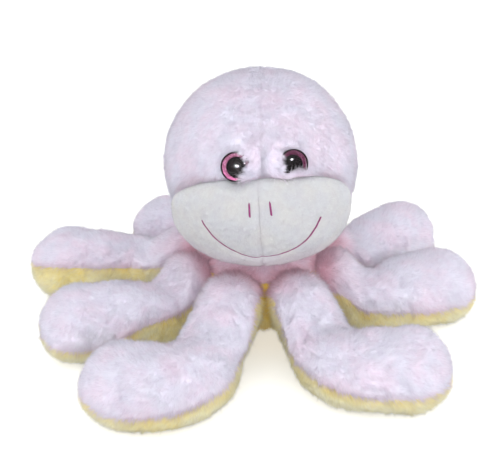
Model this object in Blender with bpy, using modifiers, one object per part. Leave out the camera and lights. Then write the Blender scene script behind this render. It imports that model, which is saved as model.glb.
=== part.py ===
"""A plush octopus: a ball head with a pillow muzzle on a squat torso, and eight boot-shaped arms.

The toy faces -Y and stands on the XY plane, with the centre of its flat base at the origin.
Every arm is a stuffed pocket of an upper and a lower panel. Its root end is a ball that sits in a
socket of the torso, and the ball's centre is the arm's joint.
"""
import math

import bmesh
import bpy
from mathutils import Matrix, Vector

MM = 0.001

# Cloth, stuffing and clearances
SKIN = 2.2 * MM                # plush cloth with its pressed pile
GAP = 0.3 * MM                 # between touching pieces
STUFFING_GAP = 0.8 * MM        # between a skin and the stuffing in it
OVERRUN = 10.0 * MM            # how far a cutter passes the piece it cuts
MERGE = 0.02 * MM              # corners of a turned profile that are nearer than this are one

# Arms
ARM_COUNT = 8
ARM_YAW = math.radians(3.0)    # the whole ring of arms is turned a little
ROOT_HEIGHT = 34.0 * MM        # the ball at an arm's root, where the arm's joint is
ROOT_RADIUS = 19.0 * MM
ROOT_SPACE = 0.84 * MM         # half the space between neighbouring balls
SEAM_HEIGHT = 19.5 * MM        # the seam between the pink and the yellow panels at the foot
LEG_LENGTH = 56.0 * MM         # from the root to the bend
LEG_SETTLE = 24.0 * MM         # where the leg reaches its full width
LEG_HALF_WIDTH = 20.5 * MM
LEG_UP = 20.0 * MM             # from the seam to the top of the leg
FOOT_LENGTH = 52.0 * MM        # from the bend's start to the rounded end
FOOT_HALF_WIDTH = 26.0 * MM
FOOT_UP = 23.5 * MM
TIP_LENGTH = 25.0 * MM         # the rounded end
BEND_RADIUS = 29.0 * MM
FOOT_GROW_SHARE = 0.62         # the share of the foot in which it reaches its full width
SOLE_FULLNESS_SHARE = 0.8      # below 1 makes the lower half squarer and the sole flatter

# How each arm lies: leg's turn from its root's heading, bend at the foot, length of the leg and
# how far the seam is rolled round the foot
ARM_POSE_SHARES = (
    (math.radians(1.0), math.radians(-81.0), 0.93, 0.0),
    (math.radians(-1.0), math.radians(67.0), 0.74, 0.0),
    (math.radians(14.0), math.radians(31.0), 0.35, math.radians(4.0)),
    (math.radians(16.0), math.radians(6.0), 0.44, math.radians(-15.0)),
    (math.radians(5.0), math.radians(-1.0), 0.45, 0.0),
    (math.radians(-8.0), math.radians(55.0), 0.24, 0.0),
    (math.radians(2.0), math.radians(14.0), 0.6, math.radians(-24.0)),
    (math.radians(12.0), math.radians(-22.0), 0.36, math.radians(-20.0)),
)

# Torso
ROOT_SINK = 7.2 * MM           # how deep an arm's ball sits in the torso
BASE_FLAT_RADIUS = 16.0 * MM
NECK_RADIUS = 25.0 * MM
NECK_HEIGHT = 53.2 * MM
NECK_THREAD = 0.7 * MM         # radius of the thread that sews the head on
NECK_THREAD_OUT = 2.5 * MM     # how far the thread lies outside the neck's rim

# Head
HEAD_RADIUS = 60.0 * MM

# Muzzle, measured along the head's surface
FACE_ROLL = math.radians(3.0)
MUZZLE_DROP = 17.5 * MM        # its middle below the head's equator
MUZZLE_HALF_WIDTH = 59.5 * MM
MUZZLE_HALF_HEIGHT = 30.0 * MM
MUZZLE_SAG = 5.0 * MM          # how much lower its sides lie than its middle
MUZZLE_RISE = 14.0 * MM        # how far the pillow stands off the head
MUZZLE_SEAT = 0.8 * MM         # the rim's gap to the head
MUZZLE_SQUARE = 2.8            # the outline's exponent, 2 is an ellipse
MUZZLE_FULLNESS_SHARE = 0.6    # below 1 makes the pillow's top flatter

# Embroidery
THREAD_RADIUS = 0.55 * MM
SMILE_HALF_WIDTH = 30.0 * MM
SMILE_TOP = 10.0 * MM          # its ends above the muzzle's middle
SMILE_DROP = 21.0 * MM
SMILE_ROUND_SHARE = 0.75
SMILE_POINTS = 22
NOSTRIL_OUT = 5.0 * MM         # from the middle seam
NOSTRIL_TOP = 21.0 * MM        # above the muzzle's middle
NOSTRIL_LENGTH = 7.0 * MM

# Eyes
EYE_RADIUS = 8.7 * MM
EYE_WALL = 0.8 * MM            # the black rim
EYE_FLOOR = 1.2 * MM           # the cup's floor
EYE_RIM = 2.6 * MM             # the rim's height
EYE_CHAMFER = 0.3 * MM
PUPIL_RADIUS = 4.7 * MM
IRIS_THICK = 0.4 * MM
LENS_RISE = 3.0 * MM           # the dome above its flat back
LENS_EDGE = 0.4 * MM
STEM_RADIUS = 2.0 * MM
STEM_LENGTH = 12.0 * MM
WASHER_RADIUS = 7.0 * MM
WASHER_THICK = 1.2 * MM
EYE_ACROSS = {"left": -15.5 * MM, "right": 25.0 * MM}    # from the face's middle
EYE_CLEARS = {"left": 1.5 * MM, "right": 0.9 * MM}       # from the muzzle's outline up to the rim

# Facets
PANEL_SIDES = 6                # across an arm's upper or lower panel
ARM_ROWS = 15
CAP_ROWS = 3
BALL_SIDES = 18
BALL_ROWS = 12
HEAD_SIDES = 28
HEAD_ROWS = 18
MUZZLE_SIDES = 24
MUZZLE_ROWS = 12
TORSO_STEPS = 26
PROFILE_STEPS = 4
THREAD_SIDES = 5
EYE_STEPS = 18

# Sizes that follow
UP = Vector((0, 0, 1))
ROOT_RING = (ROOT_RADIUS + ROOT_SPACE) / math.sin(math.pi / ARM_COUNT)
TORSO_RADIUS = ROOT_RING - ROOT_RADIUS + ROOT_SINK
HEAD_SEAT = HEAD_RADIUS + GAP
HEAD_HEIGHT = NECK_HEIGHT + math.sqrt(HEAD_SEAT ** 2 - NECK_RADIUS ** 2)
HEAD_CENTRE = UP * HEAD_HEIGHT
TALL = HEAD_HEIGHT + HEAD_RADIUS + OVERRUN

# Colours, roughness
PINK = ((0.76, 0.66, 0.74), 0.95)
YELLOW = ((0.72, 0.62, 0.30), 0.95)
WHITE = ((0.78, 0.79, 0.81), 0.9)
FIBRE = ((0.82, 0.82, 0.80), 1.0)
MAGENTA = ((0.35, 0.03, 0.15), 0.6)
GLITTER = ((0.32, 0.05, 0.14), 0.3)
BLACK = ((0.01, 0.01, 0.012), 0.2)
CLEAR = ((0.9, 0.9, 0.92), 0.03)
NYLON = ((0.8, 0.8, 0.78), 0.5)

for leftover in list(bpy.data.objects):
    bpy.data.objects.remove(leftover, do_unlink=True)


def new_collection(name):
    collection = bpy.data.collections.new(name)
    bpy.context.scene.collection.children.link(collection)
    return collection


parts = new_collection("plush_octopus")
cutters = new_collection("cutters")


def material(name, look):
    colour, roughness = look
    made = bpy.data.materials.new(name)
    made.use_nodes = True
    shader = made.node_tree.nodes["Principled BSDF"]
    shader.inputs["Base Color"].default_value = (*colour, 1)
    shader.inputs["Roughness"].default_value = roughness
    shader.inputs["Metallic"].default_value = 0
    return made


def add_part(name, data, look):
    part = bpy.data.objects.new(name, data)
    if not data.materials:
        data.materials.append(None)
    part.material_slots[0].link = "OBJECT"
    part.material_slots[0].material = material(name, look)
    parts.objects.link(part)
    return part


def add_cutter(name, data):
    cutter = bpy.data.objects.new(name, data)
    cutter.hide_render = True
    cutter.display_type = "WIRE"
    cutters.objects.link(cutter)
    return cutter


def finish_mesh(name, bm):
    data = bpy.data.meshes.new(name)
    bm.to_mesh(data)
    bm.free()
    data.shade_smooth()
    return data


def place(part, base, origin):
    """Puts a part's origin on a base empty without moving its mesh from where it was modelled."""
    part.data.transform(Matrix.Translation(-origin))
    part.parent = base


def joint_empty(name, where):
    base = bpy.data.objects.new(name, None)
    base.location = where
    parts.objects.link(base)
    return base


def cut(part, cutter, operation="DIFFERENCE"):
    step = part.modifiers.new(cutter.name, "BOOLEAN")
    step.operation = operation
    step.object = cutter


def thicken(part):
    step = part.modifiers.new("Cloth", "SOLIDIFY")
    step.thickness = SKIN
    step.offset = -1
    step.use_even_offset = True


def box_mesh(name, low, high):
    bm = bmesh.new()
    bmesh.ops.create_cube(bm, size=1)
    size = Vector(high) - Vector(low)
    middle = (Vector(high) + Vector(low)) / 2
    bmesh.ops.scale(bm, vec=size, verts=bm.verts)
    bmesh.ops.translate(bm, vec=middle, verts=bm.verts)
    return finish_mesh(name, bm)


def ball_mesh(name, radius, sides, rows):
    """A ball turned by half a side, so that seams run between its corners."""
    bm = bmesh.new()
    bmesh.ops.create_uvsphere(bm, u_segments=sides, v_segments=rows, radius=radius)
    half_side = Matrix.Rotation(math.pi / sides, 3, "Z")
    bmesh.ops.rotate(bm, matrix=half_side, verts=bm.verts)
    return finish_mesh(name, bm)


def facet_share(sides, rows):
    """How near a faceted ball's faces come to its middle, as a share of its radius."""
    return math.cos(math.pi / sides) * math.cos(math.pi / (2 * rows))


def profile_mesh(name, points, closed=False):
    """A profile in the XZ plane, which a Screw modifier turns about Z."""
    bm = bmesh.new()
    corners = [bm.verts.new((r, 0, z)) for r, z in points]
    for first, second in zip(corners, corners[1:]):
        bm.edges.new((first, second))
    if closed:
        bm.edges.new((corners[-1], corners[0]))
    return finish_mesh(name, bm)


def turn(part, steps):
    spin = part.modifiers.new("Turn", "SCREW")
    spin.steps = steps
    spin.render_steps = steps
    spin.use_merge_vertices = True
    spin.merge_threshold = MERGE
    spin.use_smooth_shade = True


def heading(azimuth):
    """A level direction. Azimuth 0 is the front, -Y, and it grows towards +X."""
    return Vector((math.sin(azimuth), -math.cos(azimuth), 0))


def raised(azimuth, elevation):
    return heading(azimuth) * math.cos(elevation) + UP * math.sin(elevation)


def mix(low, high, share):
    share = min(max(share, 0), 1)
    share = share * share * (3 - 2 * share)
    return low + (high - low) * share


def sphere_rings(sides):
    """A sphere, and each of its corners with the row and the side that it is on."""
    bm = bmesh.new()
    bmesh.ops.create_uvsphere(bm, u_segments=sides, v_segments=ARM_ROWS, radius=1)
    rings = []
    for corner in bm.verts:
        x, y, z = corner.co
        row = round(math.acos(max(-1, min(1, z))) / math.pi * ARM_ROWS)
        turned = math.atan2(y, x) - math.pi / 2    # the sphere's first side is on +Y
        side = round(turned / (2 * math.pi) * sides) % sides
        rings.append((corner, row, side))
    return bm, rings


class Arm:
    """One arm's centreline and cross-sections, from the ball at its root to its rounded end."""

    def __init__(self, index):
        turn_from_root, self.bend, leg_share, self.roll = ARM_POSE_SHARES[index]
        step = 2 * math.pi / ARM_COUNT
        self.azimuth = ARM_YAW + (index - 0.5) * step
        self.leg_azimuth = self.azimuth + turn_from_root
        self.leg = LEG_LENGTH * leg_share
        self.length = self.leg + FOOT_LENGTH
        self.root = heading(self.azimuth) * ROOT_RING + UP * ROOT_HEIGHT

    def centre(self, along):
        """The centreline's point and heading at a distance along the arm."""
        ahead = heading(self.leg_azimuth)
        point = self.root + ahead * min(along, self.leg)
        point.z = mix(ROOT_HEIGHT, SEAM_HEIGHT, along / self.leg)
        if along <= self.leg:
            return point, ahead
        way = math.copysign(1, self.bend)
        turned = min((along - self.leg) / BEND_RADIUS, abs(self.bend))
        side = heading(self.leg_azimuth + way * math.pi / 2)
        point += (ahead * math.sin(turned) + side * (1 - math.cos(turned))) * BEND_RADIUS
        ahead = heading(self.leg_azimuth + way * turned)
        return point + ahead * (along - self.leg - BEND_RADIUS * turned), ahead

    def section(self, along):
        """Half width, height above the seam, depth below it and the sole's fullness."""
        settle = along / LEG_SETTLE
        grow = (along - self.leg) / (FOOT_LENGTH * FOOT_GROW_SHARE)
        width = mix(mix(ROOT_RADIUS, LEG_HALF_WIDTH, settle), FOOT_HALF_WIDTH, grow)
        above = mix(mix(ROOT_RADIUS, LEG_UP, settle), FOOT_UP, grow)
        below = mix(ROOT_RADIUS, SEAM_HEIGHT, along / self.leg)
        return width, above, below, mix(1, SOLE_FULLNESS_SHARE, settle)

    def station(self, row, inset):
        """Distance along the arm and size share for a row of the sphere that the arm starts as."""
        quarter = math.pi / 2 / CAP_ROWS
        if row <= CAP_ROWS:
            return -(ROOT_RADIUS - inset) * math.cos(row * quarter), math.sin(row * quarter)
        past = row - (ARM_ROWS - CAP_ROWS)
        if past >= 0:
            tip = (TIP_LENGTH - inset) * math.sin(past * quarter)
            return self.length + tip, math.cos(past * quarter)
        return self.length * (row - CAP_ROWS) / (ARM_ROWS - 2 * CAP_ROWS), 1

    def surface(self, row, angle, inset, shift=0):
        """A point of the arm: angle 0 and pi on its seams, and shift off the plane through them."""
        along, share = self.station(row, inset)
        point, ahead = self.centre(along)
        width, above, below, fullness = self.section(along)
        side = ahead.cross(UP)
        roll = mix(0, self.roll, along / self.leg)
        across = math.cos(angle + roll)
        rise = math.sin(angle + roll)
        if rise < 0:
            across = math.copysign(abs(across) ** fullness, across)
            rise = -abs(rise) ** fullness
        across *= width - inset - abs(shift * math.sin(roll))
        rise *= (above if rise > 0 else below) - inset - abs(shift * math.cos(roll))
        off_seam = UP * math.cos(roll) - side * math.sin(roll)
        return point + (side * across + UP * rise) * share + off_seam * shift

    def panel_mesh(self, name, way):
        """A sphere folded into a pocket half: its first sides are the outer face, the rest the inner."""
        sides = 2 * PANEL_SIDES + 2
        bm, rings = sphere_rings(sides)
        for corner, row, side in rings:
            inner = side > PANEL_SIDES
            step = sides - 1 - side if inner else side
            angle = math.pi * (1 + step / PANEL_SIDES) if way < 0 else math.pi * step / PANEL_SIDES
            corner.co = self.surface(row, angle, SKIN if inner else 0, way * GAP / 2)
        bmesh.ops.triangulate(bm, faces=bm.faces, quad_method="SHORT_EDGE")
        return finish_mesh(name, bm)

    def stuffing_mesh(self, name):
        sides = 2 * PANEL_SIDES
        bm, rings = sphere_rings(sides)
        for corner, row, side in rings:
            corner.co = self.surface(row, 2 * math.pi * side / sides, SKIN + STUFFING_GAP)
        bmesh.ops.triangulate(bm, faces=bm.faces, quad_method="SHORT_EDGE")
        return finish_mesh(name, bm)


arms = [Arm(index) for index in range(ARM_COUNT)]
socket_radius = (ROOT_RADIUS + GAP) / facet_share(BALL_SIDES, BALL_ROWS)
sockets = []
for number, arm in enumerate(arms, 1):
    name = f"arm_{number}"
    base = joint_empty(f"{name}_joint", arm.root)
    for panel, way, look in (("upper", 1, PINK), ("lower", -1, YELLOW)):
        node = f"{name}_{panel}_skin"
        place(add_part(node, arm.panel_mesh(node, way), look), base, arm.root)
    node = f"{name}_stuffing"
    place(add_part(node, arm.stuffing_mesh(node), FIBRE), base, arm.root)
    node = f"{name}_socket"
    socket = add_cutter(node, ball_mesh(node, socket_radius, BALL_SIDES, BALL_ROWS))
    socket.location = arm.root
    sockets.append(socket)


def torso_profile(inset):
    """From the dish under the head, over the neck's rim and down to the flat base."""
    dish = HEAD_SEAT + inset
    rim = math.asin((NECK_RADIUS - inset) / dish)
    points = []
    for step in range(PROFILE_STEPS + 1):
        angle = rim * step / PROFILE_STEPS
        points.append((dish * math.sin(angle), HEAD_HEIGHT - dish * math.cos(angle)))
    rim_r, rim_z = points[-1]
    wide = TORSO_RADIUS - inset
    flat = BASE_FLAT_RADIUS - inset
    for step in range(1, PROFILE_STEPS + 1):
        angle = math.pi / 2 * (1 - step / PROFILE_STEPS)
        r = rim_r + (wide - rim_r) * math.cos(angle)
        points.append((r, ROOT_HEIGHT + (rim_z - ROOT_HEIGHT) * math.sin(angle)))
    for step in range(1, PROFILE_STEPS + 1):
        angle = math.pi / 2 * (1 - step / PROFILE_STEPS)
        r = flat + (wide - flat) * math.sin(angle)
        points.append((r, ROOT_HEIGHT - (ROOT_HEIGHT - inset) * math.cos(angle)))
    points.append((0, inset))
    return points


# Torso, whose seam runs through the arms' roots
half_gap = GAP / 2
for node, look in (("torso_upper_skin", PINK), ("base_panel", YELLOW)):
    low, high = (ROOT_HEIGHT + half_gap, TALL) if look is PINK else (-OVERRUN, ROOT_HEIGHT - half_gap)
    half = add_cutter(f"{node}_half", box_mesh(node, (-TALL, -TALL, low), (TALL, TALL, high)))
    skin = add_part(node, profile_mesh(node, torso_profile(0)), look)
    turn(skin, TORSO_STEPS)
    thicken(skin)
    for socket in sockets:
        cut(skin, socket)
    cut(skin, half, "INTERSECT")

torso_stuffing = add_part(
    "torso_stuffing", profile_mesh("torso_stuffing", torso_profile(SKIN + STUFFING_GAP)), FIBRE
)
turn(torso_stuffing, TORSO_STEPS)
for socket in sockets:
    cut(torso_stuffing, socket)

thread_ring = NECK_RADIUS + NECK_THREAD_OUT
thread_height = HEAD_HEIGHT - math.sqrt((HEAD_SEAT + NECK_THREAD) ** 2 - thread_ring ** 2)
ring = []
for step in range(THREAD_SIDES):
    angle = -2 * math.pi * step / THREAD_SIDES
    r = thread_ring + NECK_THREAD * math.cos(angle)
    ring.append((r, thread_height + NECK_THREAD * math.sin(angle)))
neck_thread = add_part("neck_thread", profile_mesh("neck_thread", ring, closed=True), PINK)
turn(neck_thread, TORSO_STEPS)

# Head
head_base = joint_empty("head_joint", HEAD_CENTRE)
inner_head = (HEAD_RADIUS - SKIN) * facet_share(HEAD_SIDES, HEAD_ROWS)
head_stuffing = add_part(
    "head_stuffing", ball_mesh("head_stuffing", inner_head - GAP, HEAD_SIDES, HEAD_ROWS), FIBRE
)
head_stuffing.parent = head_base
gores = {}
for side, x_way in (("left", -1), ("right", 1)):
    for end, y_way in (("front", -1), ("back", 1)):
        node = f"head_{end}_{side}_gore"
        low = [min(way * half_gap, way * TALL) for way in (x_way, y_way)]
        high = [max(way * half_gap, way * TALL) for way in (x_way, y_way)]
        quarter = add_cutter(f"{node}_quarter", box_mesh(node, (*low, -TALL), (*high, TALL)))
        quarter.parent = head_base
        gore = add_part(node, ball_mesh(node, HEAD_RADIUS, HEAD_SIDES, HEAD_ROWS), PINK)
        gore.parent = head_base
        thicken(gore)
        cut(gore, quarter, "INTERSECT")
        gores[end, side] = gore

# Muzzle
muzzle_tilt = -MUZZLE_DROP / HEAD_RADIUS
face_ahead = raised(0, muzzle_tilt)
face_up = Vector((0, math.sin(muzzle_tilt), math.cos(muzzle_tilt)))
face_side = Vector((1, 0, 0)) * math.cos(FACE_ROLL) + face_up * math.sin(FACE_ROLL)
face_up = face_ahead.cross(face_side)


def face_point(across, up, out):
    """A point from the head's centre: arcs along the head from the face's middle, and a rise."""
    side_angle = across / HEAD_RADIUS
    up_angle = (up - MUZZLE_SAG * (across / MUZZLE_HALF_WIDTH) ** 2) / HEAD_RADIUS
    level = face_ahead * math.cos(side_angle) + face_side * math.sin(side_angle)
    return (level * math.cos(up_angle) + face_up * math.sin(up_angle)) * (HEAD_RADIUS + out)


def pillow_rise(share, rise):
    """The pillow's height where share is 0 at its middle and 1 at its rim."""
    dome = math.sqrt(max(0, 1 - share * share)) ** MUZZLE_FULLNESS_SHARE
    return MUZZLE_SEAT + (rise - MUZZLE_SEAT) * dome


def outline_share(across, up):
    """How far a place on the muzzle is towards its outline, 1 on the outline."""
    a = abs(across / MUZZLE_HALF_WIDTH) ** MUZZLE_SQUARE
    b = abs(up / MUZZLE_HALF_HEIGHT) ** MUZZLE_SQUARE
    return (a + b) ** (1 / MUZZLE_SQUARE)


def outline_top(across):
    """How far above its middle the muzzle's outline is there."""
    a = abs(across / MUZZLE_HALF_WIDTH) ** MUZZLE_SQUARE
    return MUZZLE_HALF_HEIGHT * max(0, 1 - a) ** (1 / MUZZLE_SQUARE)


def pillow_mesh(name, inset, keep_back):
    """The muzzle's pillow from a sphere: its front half is the outer face, its back half the seat."""
    bm = bmesh.new()
    bmesh.ops.create_uvsphere(bm, u_segments=MUZZLE_SIDES, v_segments=MUZZLE_ROWS, radius=1)
    half_side = Matrix.Rotation(math.pi / MUZZLE_SIDES, 3, "Z")
    bmesh.ops.rotate(bm, matrix=half_side, verts=bm.verts)
    if not keep_back:
        back = [f for f in bm.faces if f.calc_center_median().z < 0]
        bmesh.ops.delete(bm, geom=back, context="FACES")
    for corner in bm.verts:
        x, y, z = corner.co
        share = math.hypot(x, y)
        angle = math.atan2(y, x)
        square = abs(math.cos(angle)) ** MUZZLE_SQUARE + abs(math.sin(angle)) ** MUZZLE_SQUARE
        reach = share * square ** (-1 / MUZZLE_SQUARE)
        across = (MUZZLE_HALF_WIDTH - inset) * reach * math.cos(angle)
        up = (MUZZLE_HALF_HEIGHT - inset) * reach * math.sin(angle)
        out = MUZZLE_SEAT if z < 0 else pillow_rise(share, MUZZLE_RISE - inset)
        corner.co = face_point(across, up, out)
    return finish_mesh(name, bm)


for side, x_way in (("left", -1), ("right", 1)):
    low = min(x_way * half_gap, x_way * TALL)
    high = max(x_way * half_gap, x_way * TALL)
    node = f"muzzle_{side}_panel"
    half = add_cutter(f"{node}_half", box_mesh(node, (low, -TALL, -TALL), (high, TALL, TALL)))
    half.parent = head_base
    panel = add_part(node, pillow_mesh(node, 0, False), WHITE)
    panel.parent = head_base
    thicken(panel)
    cut(panel, half, "INTERSECT")
muzzle_inset = SKIN + 2 * STUFFING_GAP
muzzle_stuffing = add_part("muzzle_stuffing", pillow_mesh("muzzle_stuffing", muzzle_inset, True), FIBRE)
muzzle_stuffing.parent = head_base


def stitch(node, places):
    """A line of embroidery thread that lies on the muzzle, through places in arcs on the face."""
    line = bpy.data.curves.new(node, "CURVE")
    line.dimensions = "3D"
    line.bevel_depth = THREAD_RADIUS
    line.bevel_resolution = 1
    line.use_fill_caps = True
    spline = line.splines.new("POLY")
    spline.points.add(len(places) - 1)
    for point, (across, up) in zip(spline.points, places):
        out = pillow_rise(outline_share(across, up), MUZZLE_RISE) + THREAD_RADIUS + GAP
        point.co = (*face_point(across, up, out), 1)
    thread = add_part(node, line, MAGENTA)
    thread.parent = head_base


smile = []
for step in range(SMILE_POINTS + 1):
    share = math.sin(math.pi * (step / SMILE_POINTS - 0.5))
    drop = SMILE_DROP * (1 - share * share) ** SMILE_ROUND_SHARE
    smile.append((SMILE_HALF_WIDTH * share, SMILE_TOP - drop))
stitch("smile_thread", smile)
for side, x_way in (("left", -1), ("right", 1)):
    across = x_way * NOSTRIL_OUT
    drops = (0, NOSTRIL_LENGTH / 2, NOSTRIL_LENGTH)
    stitch(f"nostril_{side}_thread", [(across, NOSTRIL_TOP - drop) for drop in drops])

# Eyes, with z = 0 on the back of the flange
cup_radius = EYE_RADIUS - EYE_WALL
iris_low = EYE_FLOOR + GAP
iris_high = iris_low + IRIS_THICK
lens_low = iris_high + GAP
lens_radius = cup_radius - GAP
washer_seat = inner_head - GAP
washer_high = math.sqrt(washer_seat ** 2 - WASHER_RADIUS ** 2) - HEAD_SEAT
washer_low = washer_high - WASHER_THICK
washer_hole = STEM_RADIUS + GAP
EYE_PROFILES = {
    "backing": (
        [
            (0, iris_high), (PUPIL_RADIUS, iris_high), (PUPIL_RADIUS, EYE_FLOOR),
            (cup_radius, EYE_FLOOR), (cup_radius, EYE_RIM), (EYE_RADIUS - EYE_CHAMFER, EYE_RIM),
            (EYE_RADIUS, EYE_RIM - EYE_CHAMFER), (EYE_RADIUS, 0), (STEM_RADIUS, 0),
            (STEM_RADIUS, -STEM_LENGTH), (0, -STEM_LENGTH),
        ],
        False, BLACK,
    ),
    "iris": (
        [
            (PUPIL_RADIUS + GAP, iris_high), (lens_radius, iris_high),
            (lens_radius, iris_low), (PUPIL_RADIUS + GAP, iris_low),
        ],
        True, GLITTER,
    ),
    "washer": (
        [
            (washer_hole, washer_high), (WASHER_RADIUS, washer_high),
            (WASHER_RADIUS, washer_low), (washer_hole, washer_low),
        ],
        True, NYLON,
    ),
}
lens = []
for step in range(PROFILE_STEPS + 1):
    angle = math.pi / 2 * step / PROFILE_STEPS
    lens.append((lens_radius * math.sin(angle), lens_low + LENS_EDGE + LENS_RISE * math.cos(angle)))
lens.append((lens_radius, lens_low))
lens.append((0, lens_low))
EYE_PROFILES["lens"] = (lens, False, CLEAR)

pocket_radius = WASHER_RADIUS + STUFFING_GAP
hole_radius = STEM_RADIUS + STUFFING_GAP
pocket = [
    (0, OVERRUN), (pocket_radius, OVERRUN), (pocket_radius, washer_low - STUFFING_GAP),
    (hole_radius, washer_low - STUFFING_GAP), (hole_radius, -STEM_LENGTH - STUFFING_GAP),
    (0, -STEM_LENGTH - STUFFING_GAP),
]
stem_hole = [(0, OVERRUN), (hole_radius, OVERRUN), (hole_radius, -OVERRUN), (0, -OVERRUN)]


def seat_on_head(part, axis):
    part.parent = head_base
    part.rotation_mode = "QUATERNION"
    part.rotation_quaternion = axis.to_track_quat("Z", "Y")
    part.location = axis * HEAD_SEAT


for side in ("left", "right"):
    across = EYE_ACROSS[side]
    axis = face_point(across, outline_top(across) + EYE_CLEARS[side] + EYE_RADIUS, 0).normalized()
    for name, (points, closed, look) in EYE_PROFILES.items():
        node = f"eye_{side}_{name}"
        piece = add_part(node, profile_mesh(node, points, closed), look)
        turn(piece, EYE_STEPS)
        seat_on_head(piece, axis)
    holes = (("pocket", pocket, head_stuffing), ("hole", stem_hole, gores["front", side]))
    for name, points, target in holes:
        node = f"eye_{side}_{name}"
        plug = add_cutter(node, profile_mesh(node, points))
        turn(plug, EYE_STEPS)
        seat_on_head(plug, axis)
        cut(target, plug)
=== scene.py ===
"""The plush octopus as it looks: furred cloth over the CAD's pockets, a velvety muzzle, and the eyes.

Lengths are in metres. The front is -Y, and left is the viewer's left, -X.
"""
import math

import bpy
import numpy as np
from mathutils import Matrix, Vector


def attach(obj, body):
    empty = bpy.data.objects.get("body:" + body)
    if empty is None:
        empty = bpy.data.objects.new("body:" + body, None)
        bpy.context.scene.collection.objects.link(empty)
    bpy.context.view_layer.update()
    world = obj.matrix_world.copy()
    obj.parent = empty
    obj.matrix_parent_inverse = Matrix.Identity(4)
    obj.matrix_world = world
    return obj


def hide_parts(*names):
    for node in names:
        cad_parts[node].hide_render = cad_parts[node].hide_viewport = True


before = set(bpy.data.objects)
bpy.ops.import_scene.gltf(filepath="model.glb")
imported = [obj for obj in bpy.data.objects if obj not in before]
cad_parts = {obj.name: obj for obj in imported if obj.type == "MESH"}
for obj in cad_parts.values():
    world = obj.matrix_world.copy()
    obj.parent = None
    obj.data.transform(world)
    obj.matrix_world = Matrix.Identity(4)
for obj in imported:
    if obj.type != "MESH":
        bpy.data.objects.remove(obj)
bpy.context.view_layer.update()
scene = bpy.context.scene

MM = 0.001
UP = np.array((0.0, 0.0, 1.0))
SIDES = (("left", -1), ("right", 1))
SEED = 7
WAVE_COUNT = 14
UV_EDGES = (0.02, 0.97)

# Arms, as in the part's source
ARM_COUNT = 8
ARM_YAW = math.radians(3.0)
ROOT_HEIGHT = 34 * MM
ROOT_RADIUS = 19 * MM
ROOT_SPACE = 0.84 * MM
ROOT_RING = (ROOT_RADIUS + ROOT_SPACE) / math.sin(math.pi / ARM_COUNT)
SEAM_HEIGHT = 19.5 * MM
LEG_LENGTH = 56 * MM
LEG_SETTLE = 24 * MM
LEG_HALF_WIDTH = 20.5 * MM
LEG_UP = 20 * MM
FOOT_LENGTH = 52 * MM
FOOT_HALF_WIDTH = 26 * MM
FOOT_UP = 23.5 * MM
TIP_LENGTH = 25 * MM
BEND_RADIUS = 29 * MM
FOOT_GROW_SHARE = 0.62
SOLE_FULLNESS_SHARE = 0.8
# Each leg's turn from its root, its foot's bend, its share of the length, its seam's roll (degrees)
ARM_POSES = (
    (1.0, -81.0, 0.93, 0.0),
    (-1.0, 67.0, 0.74, 0.0),
    (14.0, 31.0, 0.35, 4.0),
    (16.0, 6.0, 0.44, -15.0),
    (5.0, -1.0, 0.45, 0.0),
    (-8.0, 55.0, 0.24, 0.0),
    (2.0, 14.0, 0.6, -24.0),
    (12.0, -22.0, 0.36, -20.0),
)

# Stuffed arms. The pile rolls some seams further, by these degrees: at the foot, and at the root
SEAM_SETTLES = {0: 12.0, 1: -8.0, 2: -12.0, 7: 30.0}
SEAM_STARTS = {0: -22.0, 1: 22.0}
ARM_GRID = (150, 96)
ROOT_HOLE_SHARE = 0.02
TIP_CLOSED_SHARE = 0.985
# The stuffed cloth is held at its seams, up to a length at its root, and beyond a share of its tip
HELD_SEAM, HELD_ALONG, HELD_TIP_SHARE = 0.01, 3 * MM, 0.93
SEAM_PULL, SEAM_WIDE = 0.3 * MM, 3.2 * MM
PULL_EASE = 12 * MM  # over which the pulls and lumps set in along the arm
FULL_BEND = math.radians(80.0)  # a bend that folds the cloth fully
FOLD_PULL, FOLD_WIDE, FOLD_BOW = 3.4 * MM, 4.2 * MM, 2.5 * MM
SECOND_PULL, SECOND_WIDE, SECOND_BOW, SECOND_PAST = 1.3 * MM, 3.6 * MM, 5 * MM, 13 * MM
PUCKER_PULL, PUCKER_WIDE, PUCKER_AT, PUCKERS_AROUND = 0.3 * MM, 9 * MM, 5 * MM, 7
ARM_LUMPS, ARM_RIPPLES = (0.8 * MM, 34 * MM), (0.2 * MM, 11 * MM)  # height and size
SOLE_HEIGHT = 0.5 * MM
# Painted shade near the arms' roots, darker still over the root balls' backs; the first span also
# lengthens the pile there
ROOT_SHADE_AT, ROOT_SHADE_WIDE = -2 * MM, 13 * MM
ROOT_BACK_SHADE_AT, ROOT_BACK_SHADE_WIDE = -9 * MM, 14 * MM

# Torso and head
TORSO_RADIUS = ROOT_RING - ROOT_RADIUS + 7.2 * MM
TORSO_SEAM_TURN = math.radians(63.0)
TORSO_ROWS, TORSO_COLUMNS = 26, 160
TORSO_RISE = 0.6 * MM  # the cloth lies this far above the base's underside
BASE_FLAT_RADIUS = 16 * MM
BASE_HOLE_RADIUS = 0.1 * MM
BASE_ROWS = 8
NECK_RADIUS = 25 * MM
NECK_HEIGHT = 53.2 * MM
NECK_TUCK = 1 * MM
ROOT_FILLET = 6.5 * MM  # how softly the torso's cloth meets the arms' roots
ROOT_TUCK = 1 * MM
ROOT_OPENING = ROOT_RADIUS - 4.5 * MM
ROOT_EDGE, ROOT_EDGE_WIDE = ROOT_RADIUS + 2 * MM, 5 * MM
HEAD_RADIUS = 60 * MM
HEAD_SEAT = HEAD_RADIUS + 0.3 * MM
HEAD_HEIGHT = NECK_HEIGHT + math.sqrt(HEAD_SEAT ** 2 - NECK_RADIUS ** 2)
HEAD_CENTRE = np.array((0.0, 0.0, HEAD_HEIGHT))
HEAD_GRID = 92
HEAD_POLES = (0.4, 179.6)  # degrees from the top
HEAD_COMB = np.array((0.0, -0.5, -0.87))
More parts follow.
